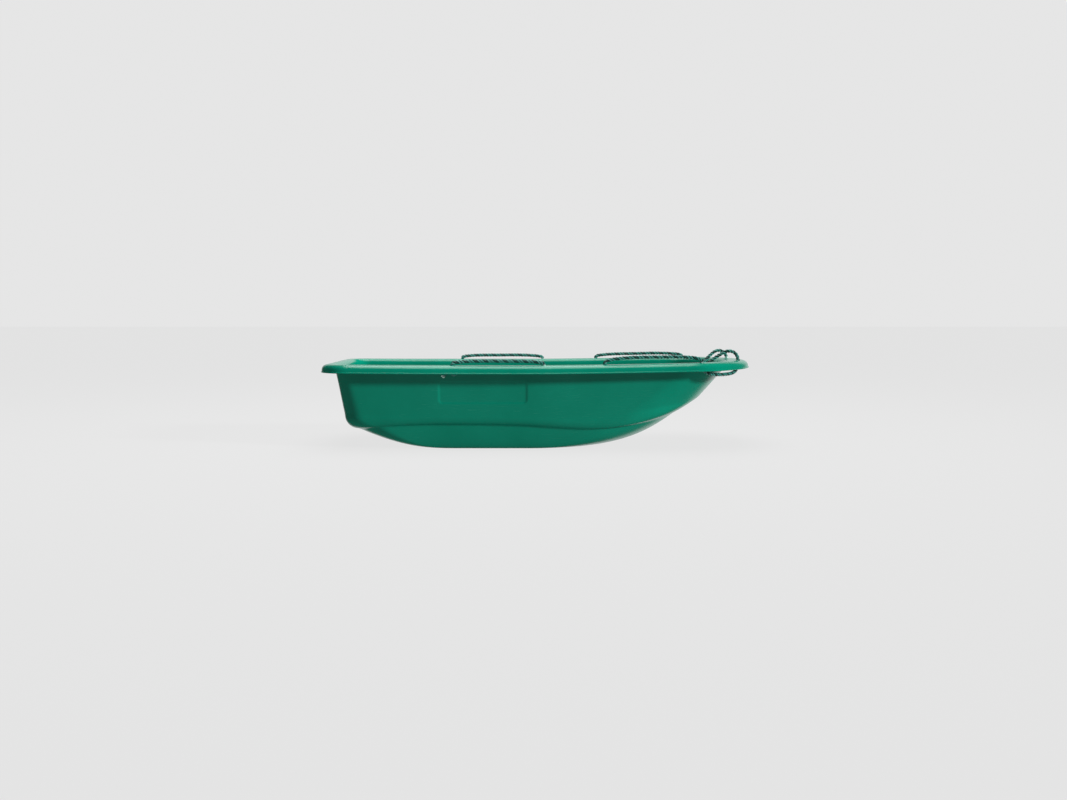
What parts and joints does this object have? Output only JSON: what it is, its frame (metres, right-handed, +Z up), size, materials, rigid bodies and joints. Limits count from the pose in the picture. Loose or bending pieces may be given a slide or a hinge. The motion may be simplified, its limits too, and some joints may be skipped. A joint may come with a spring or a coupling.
{
  "type": "boat-shaped pull sled",
  "caption": "Deep moulded tub sled with a rolled rim, a stepped hull and a raked bow, and a twisted rope laced through the rim as carry handles and a tow loop.",
  "frame": {"origin": "on the ground under the middle of the rim's box", "axes": "+X forward to the bow, +Y to port (left), +Z up"},
  "size_m": [1.12, 0.52, 0.2558],
  "materials": {
    "hull_plastic": "gloss, dark green, smooth moulded",
    "rope": "twisted synthetic rope, dark green and black"
  },
  "bodies": {
    "sled": {"hull": "hull_plastic", "side_run_right": "rope", "side_run_left": "rope", "bow_run_right": "rope", "bow_run_left": "rope", "stopper_knot_right": "rope", "stopper_knot_left": "rope", "tow_rope": "rope"},
    "handle_rear_right": {"handle_rear_right": "rope"},
    "handle_rear_left": {"handle_rear_left": "rope"},
    "handle_front_right": {"handle_front_right": "rope"},
    "handle_front_left": {"handle_front_left": "rope"}
  },
  "joints": [
    {"name": "handle_rear_right_flop", "type": "hinge", "parent": "sled", "child": "handle_rear_right", "pos_m": [-0.221, -0.2371, 0.22204], "axis": [1, -0.008, 0], "range_deg": [-55, 55], "stiffness_Nm_per_rad": 0.02},
    {"name": "handle_rear_left_flop", "type": "hinge", "parent": "sled", "child": "handle_rear_left", "pos_m": [-0.221, 0.2371, 0.22204], "axis": [1, 0.008, 0], "range_deg": [-55, 55], "stiffness_Nm_per_rad": 0.02},
    {"name": "handle_front_right_flop", "type": "hinge", "parent": "sled", "child": "handle_front_right", "pos_m": [0.164, -0.23656, 0.22386], "axis": [0.9979, 0.0622, 0.0173], "range_deg": [-55, 55], "stiffness_Nm_per_rad": 0.02},
    {"name": "handle_front_left_flop", "type": "hinge", "parent": "sled", "child": "handle_front_left", "pos_m": [0.164, 0.23656, 0.22386], "axis": [0.9979, -0.0622, 0.0173], "range_deg": [-55, 55], "stiffness_Nm_per_rad": 0.02}
  ]
}
